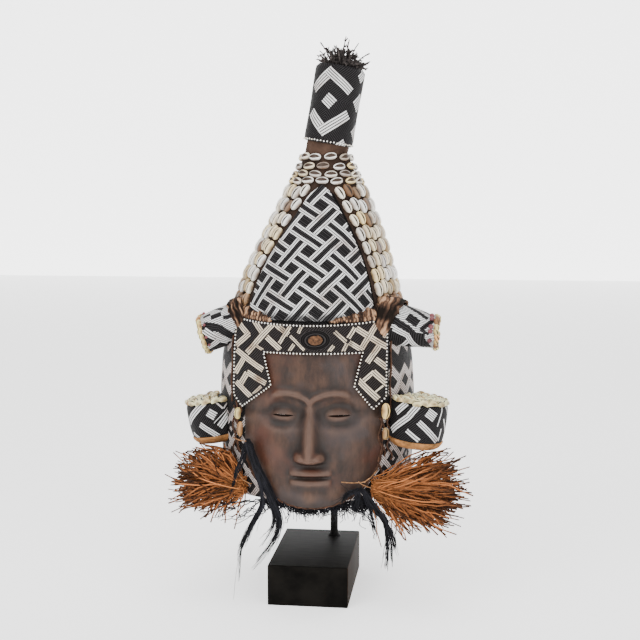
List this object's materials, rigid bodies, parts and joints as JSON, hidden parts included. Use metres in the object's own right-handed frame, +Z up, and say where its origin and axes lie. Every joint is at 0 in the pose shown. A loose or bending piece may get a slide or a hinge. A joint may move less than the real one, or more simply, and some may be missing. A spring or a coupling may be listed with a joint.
{
  "type": "beaded helmet mask on stand",
  "caption": "Hollow helmet mask: carved wooden face, beaded hood and forehead band, tall cowrie-clad crown with beaded tube and tuft, ear drums and raffia, on a rod and black block.",
  "frame": {"origin": "centre of the stand block's underside", "axes": "+Z up, -Y the way the face looks, +X the viewer's right"},
  "size_m": [0.3529, 0.26, 0.6976],
  "materials": {
    "black_lacquer": "satin",
    "black_steel": "satin",
    "dark_wood": "satin",
    "beadwork": "matte",
    "dark_beads": "matte",
    "cowrie_shell": "satin",
    "brown_cloth": "matte",
    "tan_shell": "satin",
    "tan_leather": "matte",
    "raffia": "matte",
    "black_hair": "matte"
  },
  "bodies": {
    "root": {"stand_block": "black_lacquer", "stand_rod": "black_steel", "carved_face": "dark_wood", "hood": "beadwork", "forehead_band": "dark_beads", "band_rosette": "tan_leather", "crown": "cowrie_shell", "crown_panel": "beadwork", "crown_neck": "brown_cloth", "top_tube": "dark_beads", "feather_tuft": "black_hair", "ear_roll_left": "beadwork", "ear_roll_right": "beadwork", "roll_trim_left": "tan_shell", "roll_trim_right": "tan_shell", "ear_drum_left": "dark_beads", "ear_drum_right": "dark_beads", "drum_base_left": "tan_leather", "drum_base_right": "tan_leather", "raffia_tuft_left": "raffia", "raffia_tuft_right": "raffia", "hair_locks_left": "black_hair", "hair_locks_right": "black_hair", "chin_fringe": "black_hair", "cheek_cowrie_left_upper": "tan_shell", "cheek_cowrie_left_lower": "tan_shell", "cheek_cowrie_right_upper": "tan_shell", "cheek_cowrie_right_lower": "tan_shell"}
  },
  "joints": []
}
